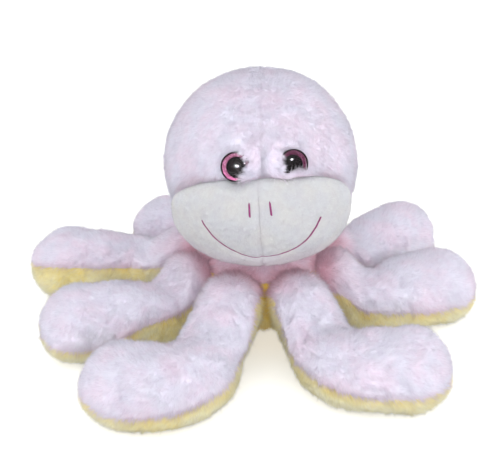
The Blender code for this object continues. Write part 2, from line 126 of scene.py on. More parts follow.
HEAD_PARTING = 30 * MM
HEAD_SEAM_PULL, HEAD_SEAM_WIDE = 0.1 * MM, 2.2 * MM
HEAD_LUMPS, HEAD_RIPPLES = (0.55 * MM, 40 * MM), (0.15 * MM, 9 * MM)
FACE_TOP = 20 * MM  # over which the head changes from face to crown
CROWN = np.array((0.05, 0.422, 0.905))  # where the stuffed head is a little flat
CROWN_DROP, CROWN_WIDE = 0.8 * MM, 0.3

# Muzzle and embroidery
FACE_ROLL = math.radians(3.0)
MUZZLE_DROP = 17.5 * MM
MUZZLE_HALF_WIDTH = 59.5 * MM
MUZZLE_HALF_HEIGHT = 30 * MM
MUZZLE_SAG = 5 * MM
MUZZLE_RISE = 13.5 * MM
MUZZLE_SEAT = 0.8 * MM
MUZZLE_SQUARE = 2.8
MUZZLE_FULLNESS_SHARE = 0.6
MUZZLE_GRID = (60, 110)
MUZZLE_SOFTNESS = 1.2 * MM  # how softly the muzzle gives way to the eyes
EYE_ROOM_SLOPE, EYE_ROOM = 2.2, (-4 * MM, 30 * MM)
SHOULDER_SPAN, SHOULDER_RISE = 43 * MM, 1.2 * MM
SHOULDER_SAGS = (4.2 * MM, 1.8 * MM)  # left and right of the middle
CHIN_SAGS = (1 * MM, 2.6 * MM)
MIDDLE_PULL, MIDDLE_WIDE = 0.7 * MM, 1.1 * MM
MIDDLE_LIP, MIDDLE_LIP_WIDE, MIDDLE_LIP_OUT = 0.35 * MM, 3 * MM, 4 * MM
MIDDLE_SHADE = 1.2 * MM
STITCH_PULL, STITCH_WIDE, STITCH_BARE = 0.8 * MM, 2.2 * MM, 1.3 * MM
MUZZLE_LUMPS, MUZZLE_RIPPLES = (0.45 * MM, 26 * MM), (0.12 * MM, 5 * MM)
CHIN_SHADE_AT, CHIN_SHADE_WIDE = 4 * MM, 22 * MM
THREAD_RADIUS = 0.42 * MM
THREAD_SIDES = 8
SMILE_HALF_WIDTH = 30 * MM
SMILE_TOP = 8.7 * MM
SMILE_DROP = 21 * MM
SMILE_RIGHT = (1.2 * MM, -1.5 * MM)  # how far the smile's right end lies out and up
SMILE_STITCHES = 17
NOSTRIL_OUT = 5 * MM
NOSTRIL_TOP = 20.4 * MM
NOSTRIL_LENGTH = 6.4 * MM
NOSTRIL_SLANT = 0.04
NOSTRIL_SHIFTS = {"left": 0.0, "right": 0.5 * MM}
NOSTRIL_TWIN = (0.25 * MM, -0.4 * MM)  # its second strand, across and up

# Eyes
EYE_RADIUS = 8.7 * MM
EYE_WALL = 0.55 * MM
EYE_FLOOR = 1.2 * MM
EYE_RIM = 2.6 * MM
EYE_ROUNDING = 0.3 * MM
EYE_STEPS = 64
STEM_RADIUS, STEM_LENGTH = 2 * MM, 12 * MM
AXIS_RADIUS = 0.01 * MM  # a turned profile ends this near to its axis
PUPIL_RADIUS = 5.9 * MM
PUPIL_MARGIN = 0.05 * MM
PUPIL_SHIFTS = {"left": (0.7 * MM, -0.2 * MM), "right": (-0.5 * MM, -0.5 * MM)}  # right and up
IRIS_THICK = 0.4 * MM
LENS_RISE = 3 * MM
LENS_EDGE = 0.4 * MM
EYE_GAP = 0.3 * MM
EYE_ACROSS = {"left": -15.5 * MM, "right": 25 * MM}
EYE_CLEARS = {"left": 1.5 * MM, "right": 0.9 * MM}
EYE_SETTLES = {"left": 2 * MM, "right": 1.6 * MM}  # the stuffed head lets them sink a little
# Fur lies over each eye beyond these lines: degrees from the viewer's right, and how far out
EYE_LIDS = {
    "left": ((-20.0, 5.4 * MM), (55.0, 7.4 * MM)),
    "right": ((-90.0, 3.2 * MM), (180.0, 5.8 * MM)),
}
LID_RAGGED = (0.8 * MM, 3 * MM)
LID_STEP, LID_SPREAD = 1.6 * MM, 0.8  # the line's softness on the eye, and its growth beyond
LID_FADE_AT, LID_FADE_WIDE = EYE_RADIUS + 0.5 * MM, 8.5 * MM
LID_CLEAR = 0.8 * MM
EYE_SWELL, EYE_SWELL_AT, EYE_SWELL_WIDE = 0.3 * MM, 12 * MM, 3.5 * MM
EYE_FRINGE_AT, EYE_FRINGE_WIDE = 10 * MM, 3 * MM
EYE_BARE, EYE_OPENING = EYE_RADIUS + 0.2 * MM, 2.6 * MM
GLINTS = {"left": (2 * MM, 0.6 * MM), "right": (-2 * MM, 3.1 * MM)}  # right and up
GLINT_AWAY, GLINT_SIZE, GLINT_POWER = 0.8, (0.13, 0.05), 20.0

# Pile
PILE_ROOT = 1.2 * MM  # the cloth lies this deep under the CAD's skin
PILE_LENGTH = 3.3 * MM
PILE_LENGTHS = (0.7, 1.2)
PILE_WIDTH = 0.16 * MM  # half the width of a tuft at its root
PILE_WIDTHS = (0.7, 1.3)
PILE_SUNK = 0.3 * MM
PILE_PER_AREA = 2.8 / MM ** 2
PILE_LEAN = math.radians(50.0)
PILE_DRIFT, PILE_LOCK = 13 * MM, 4 * MM  # how far the nap wanders, and how broad its locks are
LENGTH_WAVES = ((0.12, 7 * MM, 204), (0.1, 3 * MM, 209))
LEAN_WAVE = 6 * MM
WISP_SHARE, WISP_LENGTH, WISP_RISE = 0.02, 1.45, 0.35
TUFT_UV = 0.0006
MUZZLE_NAP_SHARE = 0.3  # the muzzle's pile, as a share of the fur's length
MUZZLE_PER_AREA = 2.5 / MM ** 2
FLOOR_GAP = 0.15 * MM

# Cloth
CLOTH_STEP_ROWS = 3  # the simulated grid has every third row and second column
CLOTH_STEP_COLUMNS = 2
CLOTH_FRAMES = 20
CLOTH_PRESSURE = 4.0
CLOTH_SLACK = 0.025  # how much larger than its grid each sheet is cut
CLOTH_SMALLER = 0.9 * MM  # the sheet starts this far inside
CLOTH_CAP = 1.6 * MM

# Light and camera
SKY = 0.99
GLOSSY_SKY = 0.03  # what reflections see where no lamp is
FLOOR_GLOW = 0.48  # lifts the floor to the photo's white, for the camera alone
FLOOR_REACH = 6.0
LIGHT_AIM = (0, 0, 0.06)
LIGHTS = (
    ("key", (-0.15, -0.5, 1.25), 0.9, 1.2),
    ("fill_left", (-0.95, -0.65, 0.4), 1.0, 2.8),
    ("fill_right", (0.95, -0.65, 0.4), 1.0, 4.0),
)
CAMERA_PLACE = (0, -0.6072, 0.3532)
CAMERA_TILT = math.radians(65)
CAMERA_LENS = 74.56
CAMERA_SENSOR = 36
CAMERA_SHIFT = (-0.022, -0.021)


def heading(azimuth):
    """A level direction. Azimuth 0 is the front, -Y, and it grows towards +X."""
    azimuth = np.asarray(azimuth, float)
    return np.stack([np.sin(azimuth), -np.cos(azimuth), np.zeros_like(azimuth)], -1)


def mix(low, high, share):
    """From low to high, with a smooth start and end."""
    share = np.clip(share, 0, 1)
    share = share * share * (3 - 2 * share)
    return low + (high - low) * share


def hump(distance, width):
    """1 at no distance, and next to nothing beyond two widths."""
    return np.exp(-(distance / width) ** 2)


def full_turn(count):
    return np.linspace(0, math.tau, count, endpoint=False)


def unit(vectors):
    length = np.linalg.norm(vectors, axis=-1, keepdims=True)
    return vectors / np.maximum(length, 1e-12)


def waves(points, size, seed):
    """Smooth noise from -1 to 1 or so, as a sum of seeded waves about size long."""
    rng = np.random.default_rng(seed)
    ways = unit(rng.normal(size=(WAVE_COUNT, 3))) * (math.tau / size)
    ways *= rng.uniform(0.6, 1.5, (WAVE_COUNT, 1))
    phases = rng.uniform(0, math.tau, WAVE_COUNT)
    return np.sin(points @ ways.T + phases).sum(-1) / math.sqrt(WAVE_COUNT / 2) / 1.6


def lumps(points, height_and_size, number):
    height, size = height_and_size
    return height * waves(points, size, SEED + number)


def grid_normals(points, wrap, out=None):
    """Outward normals of a grid of points. wrap says that its last column meets its first.

    out gives the outward side. Without it, that is away from the middle of each row.
    """
    if wrap:
        across = np.roll(points, -1, 1) - np.roll(points, 1, 1)
    else:
        across = np.gradient(points, axis=1)
    normals = unit(np.cross(np.gradient(points, axis=0), across))
    if out is None:
        out = points - points.mean(1, keepdims=True)
    return normals * math.copysign(1, (normals * out).sum())


def ring_faces(start, rings, sides):
    """Quads between rings of points that are numbered ring by ring."""
    corner = start + np.arange(rings * sides).reshape(rings, sides)
    after = np.roll(corner, -1, 1)
    return np.stack([corner[:-1], after[:-1], after[1:], corner[1:]], -1).reshape(-1, 4)


def add_values(data, name, values):
    layer = data.attributes.new(name, "FLOAT", "POINT")
    layer.data.foreach_set("value", values.astype(np.float32))


def new_mesh(name, points, faces, normals=None, uv=None, attributes=()):
    data = bpy.data.meshes.new(name)
    data.vertices.add(len(points))
    data.vertices.foreach_set("co", points.astype(np.float32).ravel())
    data.loops.add(faces.size)
    data.loops.foreach_set("vertex_index", faces.astype(np.int32).ravel())
    data.polygons.add(len(faces))
    starts = np.arange(0, faces.size, faces.shape[1], dtype=np.int32)
    data.polygons.foreach_set("loop_start", starts)
    data.polygons.foreach_set("use_smooth", np.ones(len(faces), bool))
    for key, values in attributes:
        add_values(data, key, values)
    if uv is not None:
        layer = data.uv_layers.new(name="OFBake")
        layer.data.foreach_set("uv", uv[faces.ravel()].astype(np.float32).ravel())
    data.update()
    data.validate()
    if normals is not None:
        data.normals_split_custom_set_from_vertices(normals.astype(np.float32))
    return data


def put(owner, **values):
    for key, value in values.items():
        setattr(owner, key, value)
    return owner


def new_object(name, data):
    made = bpy.data.objects.new(name, data)
    scene.collection.objects.link(made)
    return made


def add_piece(name, data, body, look, slot, *nodes):
    piece = new_object(name, data)
    data.materials.append(look)
    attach(piece, body)
    if nodes:
        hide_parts(*nodes)
    return piece


class Patch:
    """A sheet of cloth before it gets its pile: a grid of points, and what each of them carries."""

    def __init__(self, points, normals, comb,
                 length=1.0, crease=0.0, lean=PILE_LEAN, thick=1.0, keep=True):
        rows, columns = points.shape[:2]
        self.length, self.crease, self.lean, self.thick = (
            np.broadcast_to(values, (rows, columns)).ravel().astype(float)
            for values in (length, crease, lean, thick)
        )
        self.points = points.reshape(-1, 3)
        self.normals = unit(normals).reshape(-1, 3)
        self.comb = unit(np.broadcast_to(comb, points.shape)).reshape(-1, 3)
        u, v = np.meshgrid(np.linspace(*UV_EDGES, columns), np.linspace(*UV_EDGES, rows))
        self.uv = np.stack([u.ravel(), v.ravel()], 1)
        corner = np.arange(rows * columns).reshape(rows, columns)
        a, b = corner[:-1, :-1].ravel(), corner[:-1, 1:].ravel()
        c, d = corner[1:, 1:].ravel(), corner[1:, :-1].ravel()
        faces = np.concatenate([np.stack([a, d, c], -1), np.stack([a, c, b], -1)])
        a, b, c = (self.points[faces[:, k]] for k in range(3))
        if (np.cross(b - a, c - a) * self.normals[faces[:, 0]]).sum() < 0:
            faces = faces[:, ::-1]
        kept = np.broadcast_to(keep, (rows, columns)).ravel()
        self.faces = faces[kept[faces].all(1)]


def furred(name, patch, seed, density=PILE_PER_AREA, floor=-math.inf):
    """The mesh of a patch with its pile: closed-sided tapering tufts that lean with the comb."""
    rng = np.random.default_rng(seed)
    a, b, c = (patch.points[patch.faces[:, k]] for k in range(3))
    area = np.linalg.norm(np.cross(b - a, c - a), axis=1) / 2 * patch.thick[patch.faces].mean(1)
    count = int(area.sum() * density)
    face = patch.faces[rng.choice(len(area), count, p=area / area.sum())]
    share = rng.uniform(0, 1, (count, 2))
    share[share.sum(1) > 1] = 1 - share[share.sum(1) > 1]
    weights = np.stack([1 - share.sum(1), *share.T], 1)

    def carried(values):
        shape = (count, 3) + (1,) * (values.ndim - 1)
        return (values[face] * weights.reshape(shape)).sum(1)

    root = carried(patch.points)
    normal = unit(carried(patch.normals))
    comb = carried(patch.comb)
    comb = unit(comb - (comb * normal).sum(1, keepdims=True) * normal)
    drift, lock = (
        np.stack([waves(root, size, SEED + number) for number in numbers], 1)
        for size, numbers in ((PILE_DRIFT, (201, 202, 203)), (PILE_LOCK, (206, 207, 208)))
    )
    comb = unit(comb + 0.4 * drift + 0.5 * lock + 0.35 * rng.normal(size=(count, 3)))
    length = carried(patch.length) * PILE_LENGTH * rng.uniform(*PILE_LENGTHS, count)
    length *= 1 + sum(part * waves(root, size, SEED + number) for part, size, number in LENGTH_WAVES)
    wisp = rng.uniform(0, 1, count) < WISP_SHARE
    length *= np.where(wisp, WISP_LENGTH, 1)
    tilt = carried(patch.lean) + 0.14 * rng.normal(size=count)
    tilt += 0.1 * waves(root, LEAN_WAVE, SEED + 205) - np.where(wisp, WISP_RISE, 0)
    way = unit(normal * np.cos(tilt)[:, None] + comb * np.sin(tilt)[:, None])
    tip = root + way * length[:, None]
    tip[:, 2] = np.maximum(tip[:, 2], floor)
    way = unit(tip - root)
    side = unit(np.cross(way, rng.normal(size=(count, 3))))
    other = np.cross(way, side)
    width = (PILE_WIDTH * rng.uniform(*PILE_WIDTHS, count))[:, None]
    corners = [root - way * PILE_SUNK + width * (math.cos(turn) * side + math.sin(turn) * other)
               for turn in (0, math.tau / 3, math.tau * 2 / 3)]
    tuft_points = np.stack(corners + [tip], 1).reshape(-1, 3)
    tuft_points[:, 2] = np.maximum(tuft_points[:, 2], floor)
    leant = unit(normal + 0.26 * lock + 0.15 * rng.normal(size=(count, 3)))
    tip_normal = unit(leant + way * 0.25)
    tuft_normals = np.stack([leant, leant, leant, tip_normal], 1).reshape(-1, 3)
    on_skin = len(patch.points)
    start = on_skin + 4 * np.arange(count)[:, None, None]
    tuft_faces = (start + np.array([[0, 1, 3], [1, 2, 3], [2, 0, 3]])).reshape(-1, 3)
    spread = TUFT_UV * np.array([[0, 0], [1, 0], [0, 1], [1, 1]])
    tuft_uv = (carried(patch.uv)[:, None] + spread).reshape(-1, 2)
    strand = np.repeat(rng.uniform(0, 1, count), 4)
    points, faces, normals, uv, pile, crease, strand = (np.concatenate(pair) for pair in (
        (patch.points, tuft_points), (patch.faces, tuft_faces),
        (patch.normals, tuft_normals), (patch.uv, tuft_uv),
        (np.full(on_skin, 0.1), np.tile([0.15, 0.15, 0.15, 1], count)),
        (patch.crease, np.repeat(carried(patch.crease), 4)), (np.full(on_skin, 0.5), strand),
    ))
    values = (("pile", pile), ("crease", crease), ("strand", strand))
    return new_mesh(name, points, faces, normals, uv, values)


class Look:
    """The nodes of a new material, or of the world, and short ways to add to them."""

    def __init__(self, name, owner=None):
        owner = owner or bpy.data.materials.new(name)
        owner.use_nodes = True
        self.owner, self.nodes, self.links = owner, owner.node_tree.nodes, owner.node_tree.links

    def add(self, kind, **settings):
        return put(self.nodes.new("ShaderNode" + kind), **settings)

    def give(self, inputs, values):
        """Sets inputs to numbers, colours or vectors, or links them to outputs."""
        for key, value in values.items():
            if isinstance(value, bpy.types.NodeSocket):
                self.links.new(value, inputs[key])
            elif inputs[key].type == "RGBA":
                inputs[key].default_value = (*value, 1)
            else:
                inputs[key].default_value = value

    def surface(self, values, shader="Principled BSDF"):
        self.give(self.nodes[shader].inputs, values)

    def textured(self, kind, **values):
        """A texture that is fixed to the object."""
        node = self.add("Tex" + kind)
        self.give(node.inputs, {"Vector": self.add("TexCoord").outputs["Object"], **values})
        return node

    def noise(self, scale, detail=3.0):
        return self.textured("Noise", Scale=scale, Detail=detail).outputs["Fac"]

    def blended(self, share, low, high, way="MIX"):
        """A colour between low and high, each a colour or an output, as share is a number or one."""
        node = self.add("Mix", data_type="RGBA", blend_type=way)
        self.give(node.inputs, {0: share, 6: low, 7: high})
        return node.outputs[2]

    def shaded(self, colour, share, dark):
        return self.blended(1.0, colour, self.blended(share, dark, (1.0, 1.0, 1.0)), "MULTIPLY")

    def ranged(self, value, low, high, to_low=0.0, to_high=1.0):
        node = self.add("MapRange")
        keys = ("Value", "From Min", "From Max", "To Min", "To Max")
        self.give(node.inputs, dict(zip(keys, (value, low, high, to_low, to_high))))
        return node.outputs["Result"]

    def attribute(self, name):
        return self.add("Attribute", attribute_name=name).outputs["Fac"]


def fur_material(name, root, tip, warm_root, warm_tip, crease_shade_colour, glow=0.1):
    """Pile: deeper in colour at its roots, with a painted shade in creases, and drifting between two
    shades.

    It glows a little, and half again as much in creases: painted light, in place of the light that
    passes through real pile.
    """
    look = Look(name)
    pile, strand = look.attribute("pile"), look.attribute("strand")
    crease = look.ranged(look.attribute("crease"), 0.0, 1.0)
    drift = look.ranged(look.noise(60.0, 6.0), 0.42, 0.64)
    cool, warm = look.blended(pile, root, tip), look.blended(pile, warm_root, warm_tip)
    colour = look.blended(crease, look.blended(drift, cool, warm), crease_shade_colour)
    colour = look.shaded(colour, look.ranged(look.noise(260.0), 0.35, 0.6), (0.96, 0.94, 0.96))
    colour = look.blended(look.ranged(strand, 0.5, 1.0, 0.0, 0.3), colour, warm_tip)
    colour = look.shaded(colour, look.ranged(strand, 0.0, 0.3), (0.84, 0.82, 0.84))
    look.nodes["Principled BSDF"].subsurface_method = "BURLEY"
    look.surface({
        "Base Color": colour, "Emission Color": colour,
        "Emission Strength": look.ranged(crease, 0.0, 1.0, glow, glow * 1.5),
        "Roughness": 0.85, "Specular IOR Level": 0.02,
        "Subsurface Weight": 0.5, "Subsurface Radius": (1.0, 1.0, 1.0), "Subsurface Scale": 1.8 * MM,
    })
    look.owner.cycles.emission_sampling = "NONE"
    return look.owner


def cloth_material(name, low, high, grain, depth, rough=0.9, sheen=0.3):
    """Plain cloth or thread: two close shades in a fine grain, with a bump of the same grain."""
    look = Look(name)
    fine = look.noise(grain, 2.0)
    colour = look.blended(look.ranged(fine, 0.35, 0.65), low, high)
    colour = look.shaded(colour, look.ranged(look.noise(30.0), 0.35, 0.65), (0.95, 0.95, 0.97))
    bump = look.add("Bump")
    look.give(bump.inputs, {"Distance": depth, "Strength": 0.7, "Height": fine})
    look.surface({
        "Base Color": colour, "Normal": bump.outputs["Normal"], "Roughness": rough,
        "Specular IOR Level": 0.2, "Sheen Weight": sheen, "Sheen Roughness": 0.4,
    })
    return look.owner


def gloss_material(name, colour, rough, specular=0.5):
    look = Look(name)
    smudge = look.ranged(look.noise(500.0), 0.3, 0.7, rough * 0.8, rough * 1.3)
    shade = look.ranged(look.noise(900.0), 0.3, 0.7)
    look.surface({
        "Base Color": look.blended(shade, colour, tuple(part * 1.15 for part in colour)),
        "Roughness": smudge, "Specular IOR Level": specular,
    })
    return look.owner


def iris_material():
    """Magenta film with glitter: cells of differing brightness, and painted light: brighter pink
    towards the bottom, where light through the lens gathers.
    """
    look = Look("glitter_look")
    spark = look.add("SeparateColor")
    look.give(spark.inputs, {"Color": look.textured("Voronoi", Scale=2100.0).outputs["Color"]})
    bright = look.ranged(spark.outputs["Red"], 0.55, 1.0)
    broad = look.ranged(look.noise(160.0), 0.35, 0.7)
    ground = look.blended(broad, (0.12, 0.010, 0.050), (0.27, 0.030, 0.13))
    film = look.blended(bright, ground, (0.62, 0.22, 0.42))
    low = look.ranged(look.attribute("low"), 0.2, 1.0)
    look.surface({
        "Base Color": look.blended(low, film, (0.70, 0.13, 0.38)),
        "Roughness": look.ranged(spark.outputs["Green"], 0.0, 1.0, 0.18, 0.5),
        "Metallic": 0.35,
    })
    return look.owner


def lens_material():
    look = Look("clear_look")
    look.surface({
        "Base Color": (0.02, 0.012, 0.016), "Alpha": 0.3, "IOR": 1.5,
        "Roughness": look.ranged(look.noise(300.0), 0.3, 0.7, 0.008, 0.02),
    })
    return look.owner


pink_fur = fur_material(
    "pink_pile", (0.725, 0.705, 0.80), (0.765, 0.765, 0.86), (0.765, 0.67, 0.775), (0.80, 0.755, 0.85),
    (0.68, 0.41, 0.48),
)
yellow_fur = fur_material(
    "yellow_pile", (0.75, 0.70, 0.40), (0.82, 0.815, 0.69), (0.77, 0.66, 0.25), (0.82, 0.775, 0.53),
    (0.82, 0.58, 0.09), 0.12,
)
white_fur = fur_material(
    "white_pile", (0.51, 0.52, 0.545), (0.58, 0.59, 0.61), (0.535, 0.535, 0.53), (0.60, 0.605, 0.605),
    (0.60, 0.505, 0.55),
)
fibre = cloth_material("stuffing_fibre", (0.72, 0.72, 0.70), (0.84, 0.84, 0.82), 700.0, 0.5 * MM)
thread_look = cloth_material(
    "magenta_thread_look", (0.20, 0.02, 0.10), (0.36, 0.05, 0.21), 2600.0, 0.1 * MM, 0.45, 0.1,
)
neck_look = cloth_material(
    "pink_thread_look", (0.60, 0.42, 0.50), (0.72, 0.55, 0.63), 2600.0, 0.1 * MM, 0.6, 0.1,
)
black_look = gloss_material("black_plastic_look", (0.005, 0.005, 0.007), 0.45, 0.12)
nylon_look = gloss_material("nylon_look", (0.72, 0.72, 0.70), 0.4)
glitter_look = iris_material()
lens_look = lens_material()


class Arm:
    """One arm's centreline and cross-sections, from the ball at its root to its rounded end."""

    def __init__(self, index):
        turn, bend, leg_share, roll = ARM_POSES[index]
        azimuth = ARM_YAW + (index - 0.5) * math.tau / ARM_COUNT
        self.leg_azimuth = azimuth + math.radians(turn)
        self.bend, self.roll = math.radians(bend), math.radians(roll)
        self.leg = LEG_LENGTH * leg_share
        self.length = self.leg + FOOT_LENGTH
        self.root = heading(azimuth) * ROOT_RING + UP * ROOT_HEIGHT
        self.way = math.copysign(1, self.bend)
        self.seam_settles = math.radians(SEAM_SETTLES.get(index, 0.0))
        self.seam_starts = math.radians(SEAM_STARTS.get(index, 0.0))

    def centre(self, along):
        """The centreline's points and headings at distances along the arm."""
        leg_ahead = heading(self.leg_azimuth)
        side = heading(self.leg_azimuth + self.way * math.pi / 2)
        past = np.maximum(along - self.leg, 0)
        turned = np.minimum(past / BEND_RADIUS, abs(self.bend))
        ahead = heading(self.leg_azimuth + self.way * turned)
        points = self.root + leg_ahead * np.minimum(along, self.leg)[..., None]
        points += leg_ahead * (np.sin(turned) * BEND_RADIUS)[..., None]
        points += side * ((1 - np.cos(turned)) * BEND_RADIUS)[..., None]
        points += ahead * (past - BEND_RADIUS * turned)[..., None]
        points[..., 2] = mix(ROOT_HEIGHT, SEAM_HEIGHT, along / self.leg)
        return points, ahead

    def grid(self, rows, columns, inset):
        """The skin's points, and for each its distance along, its angles and the arm's heading."""
        root_rows, tip_rows = rows // 7, rows // 5
        body_rows = rows - root_rows - tip_rows
        root_turn = np.linspace(ROOT_HOLE_SHARE, 1, root_rows, endpoint=False) * math.pi / 2
        tip_turn = np.linspace(0, TIP_CLOSED_SHARE, tip_rows) * math.pi / 2
        along = np.concatenate([
            -(ROOT_RADIUS - inset) * np.cos(root_turn),
            np.linspace(0, self.length, body_rows, endpoint=False),
            self.length + (TIP_LENGTH - inset) * np.sin(tip_turn),
        ])
        share = np.concatenate([np.sin(root_turn), np.ones(body_rows), np.cos(tip_turn)])
        along, angle = np.meshgrid(along, full_turn(columns), indexing="ij")
        settle = along / LEG_SETTLE
        grow = (along - self.leg) / (FOOT_LENGTH * FOOT_GROW_SHARE)
        width = mix(mix(ROOT_RADIUS, LEG_HALF_WIDTH, settle), FOOT_HALF_WIDTH, grow)
        above = mix(mix(ROOT_RADIUS, LEG_UP, settle), FOOT_UP, grow)
        on_leg = along / self.leg
        below = mix(ROOT_RADIUS, SEAM_HEIGHT, on_leg)
        fullness = mix(1, SOLE_FULLNESS_SHARE, settle)
        turned = angle + mix(0, self.roll, on_leg)
        turned += mix(0, self.seam_settles, (along - self.leg) / FOOT_LENGTH)
        turned += mix(self.seam_starts, 0, on_leg)
        across, rise = np.cos(turned), np.sin(turned)
        under = rise < 0
        across = np.where(under, np.sign(across) * np.abs(across) ** fullness, across)
        rise = np.where(under, -np.abs(rise) ** fullness, rise)
        height = np.where(under, below, above) - inset
        centre, ahead = self.centre(along)
        side = np.cross(ahead, UP)
        out = side * (across * (width - inset))[..., None] + UP * (rise * height)[..., None]
        return centre + out * share[:, None, None], along, angle, turned, ahead


def resampled(values, places, count):
    """Values known at some rows, smoothly filled in for every row."""
    row = np.arange(count)
    high = np.clip(np.searchsorted(places, row, side="right"), 1, len(places) - 1)
    low = high - 1
    share = mix(0, 1, (row - places[low]) / (places[high] - places[low]))
    share = share.reshape(-1, *[1] * (values.ndim - 1))
    return values[low] * (1 - share) + values[high] * share


def cloth_moves(points, pinned):
    """How a tube of cloth moves when it is stuffed: Blender's Cloth under pressure, held at pinned."""
    rows, columns = points.shape[:2]
    rows_at = np.unique(np.append(np.arange(0, rows, CLOTH_STEP_ROWS), rows - 1))
    columns_at = np.arange(0, columns, CLOTH_STEP_COLUMNS)
    coarse = points[rows_at][:, columns_at]
    faces = ring_faces(0, len(rows_at), len(columns_at))
    down, over = coarse[1, 0] - coarse[0, 0], coarse[0, 1] - coarse[0, 0]
    if np.cross(down, over) @ (coarse[0, 0] - coarse.mean((0, 1))) > 0:
        faces = faces[:, ::-1]
    sheet = new_object("cloth", new_mesh("cloth", coarse.reshape(-1, 3), faces))
    held = sheet.vertex_groups.new(name="held")
    held.add(np.flatnonzero(pinned[rows_at][:, columns_at]).tolist(), 1.0, "REPLACE")
    cloth = sheet.modifiers.new("cloth", "CLOTH")
    cloth.point_cache.frame_end = CLOTH_FRAMES
    put(cloth.settings, quality=6, mass=0.15, use_pressure=True, vertex_group_mass="held",
        uniform_pressure_force=CLOTH_PRESSURE, shrink_min=-CLOTH_SLACK, bending_stiffness=0.2)
    cloth.settings.effector_weights.gravity = 0
    cloth.collision_settings.use_collision = False
    for step in range(1, CLOTH_FRAMES + 1):
        scene.frame_set(step)
    settled = sheet.evaluated_get(bpy.context.evaluated_depsgraph_get()).data
    moved = np.empty(coarse.size, np.float32)
    settled.vertices.foreach_get("co", moved)
    moved = moved.reshape(coarse.shape).astype(float) - coarse
    bpy.data.objects.remove(sheet)
    scene.frame_set(1)
    far = np.linalg.norm(moved, axis=-1, keepdims=True)
    moved *= np.tanh(far / CLOTH_CAP) * CLOTH_CAP / np.maximum(far, 1e-9)
    moved = resampled(np.concatenate([moved, moved[:, :1]], 1), rows_at, rows).swapaxes(0, 1)
    return resampled(moved, np.append(columns_at, columns), columns).swapaxes(0, 1)


def arm_shape(arm, number):
    """The arm's cloth as a grid, with what its sewing and stuffing do to it."""
    points, along, angle, turned, ahead = arm.grid(*ARM_GRID, CLOTH_SMALLER)
    pinned = (np.abs(np.sin(angle)) < HELD_SEAM) | (along < HELD_ALONG)
    pinned |= along > arm.length + TIP_LENGTH * HELD_TIP_SHARE
    points += cloth_moves(points, pinned)
    normals = grid_normals(points, True)
    seam = hump(np.sin(angle) * LEG_HALF_WIDTH, SEAM_WIDE)
    settle = mix(0, 1, along / PULL_EASE)
    inner = np.cos(turned) * -arm.way
    past_bend = along - (arm.leg + abs(arm.bend) * BEND_RADIUS * 0.5)
    sharp = min(abs(arm.bend) / FULL_BEND, 1)
    fold = hump(past_bend - FOLD_BOW * np.sin(2.2 * inner), FOLD_WIDE)
    fold *= mix(0, 1, (inner + 0.05) / 0.9) * sharp
    second = hump(past_bend - SECOND_PAST + SECOND_BOW * inner, SECOND_WIDE)
    second *= mix(0, 1, (inner - 0.25) / 0.6) * sharp
    pucker = hump(along - PUCKER_AT, PUCKER_WIDE) * np.sin(angle * PUCKERS_AROUND + number)
    push = PUCKER_PULL * pucker * (np.sin(angle) > -0.2) - SEAM_PULL * seam * settle
    push -= FOLD_PULL * fold + SECOND_PULL * second
    push += lumps(points, ARM_LUMPS, number) * settle + lumps(points, ARM_RIPPLES, 20 + number)
    points += normals * push[..., None]
    points[..., 2] = np.maximum(points[..., 2], SOLE_HEIGHT)
    # Painted shade: darker pile in the folds, along the seams, near the root and over the root ball's
    # back
    crease = np.clip(0.75 * fold + 0.35 * second + 0.25 * seam * settle, 0, 1)
    near_root = hump(along - ROOT_SHADE_AT, ROOT_SHADE_WIDE)
    crease += 0.25 * near_root + 0.75 * mix(1, 0, (along - ROOT_BACK_SHADE_AT) / ROOT_BACK_SHADE_WIDE)
    grown = 1 + 0.5 * near_root + 0.45 * seam * settle
    return points, grid_normals(points, True), ahead, np.clip(crease, 0, 1), grown


def half_grid(values, upper):
    """The upper or lower half of an arm's grid, with both seam columns."""
    half = ARM_GRID[1] // 2
    wrapped = np.concatenate([values, values[:, :1]], 1)
    return wrapped[:, :half + 1] if upper else wrapped[:, half:]


for index in range(ARM_COUNT):
    body = f"arm_{index + 1}"
    shape = arm_shape(Arm(index), index)
    for half, upper, look, slot in (
        ("upper", True, pink_fur, "pink_plush"), ("lower", False, yellow_fur, "yellow_plush"),
    ):
        points, normals, ahead, crease, grown = (half_grid(values, upper) for values in shape)
        patch = Patch(points, normals, ahead * 0.8 - UP * 0.55, length=grown, crease=crease)
        data = furred(f"{body}_{half}_plush", patch, SEED + 40 + 2 * index + upper, floor=FLOOR_GAP)
        nodes = [f"{body}_{half}_skin"] + ([] if upper else [f"{body}_stuffing"])
        piece = add_piece(f"{body}_{half}_plush", data, body, look, slot, *nodes)


# Torso
def torso_grid(upper):
    """The torso's outside, turned: from the neck's rim to its seam, or from there to the base."""
    turn = np.linspace(0, math.pi / 2, TORSO_ROWS)
    wide, rim = TORSO_RADIUS - PILE_ROOT, NECK_RADIUS - NECK_TUCK

    def dome(turn):
        high = NECK_HEIGHT - TORSO_RISE - ROOT_HEIGHT
        return rim + (wide - rim) * np.sin(turn), ROOT_HEIGHT + high * np.cos(turn)

    if upper:
        r, z = dome(turn * TORSO_SEAM_TURN / (math.pi / 2))
    else:
        high_r, high_z = dome(np.linspace(TORSO_SEAM_TURN, math.pi / 2, BASE_ROWS, endpoint=False))
        low_r = BASE_FLAT_RADIUS + (wide - BASE_FLAT_RADIUS) * np.cos(turn)
        low_z = ROOT_HEIGHT - (ROOT_HEIGHT - TORSO_RISE) * np.sin(turn)
        flat_r = np.linspace(BASE_FLAT_RADIUS, BASE_HOLE_RADIUS, BASE_ROWS)[1:]
        r = np.concatenate([high_r, low_r, flat_r])
        z = np.concatenate([high_z, low_z, np.full(len(flat_r), TORSO_RISE)])
    out = heading(np.linspace(0, math.tau, TORSO_COLUMNS))
    return out * r[:, None, None] + UP * z[:, None, None], out


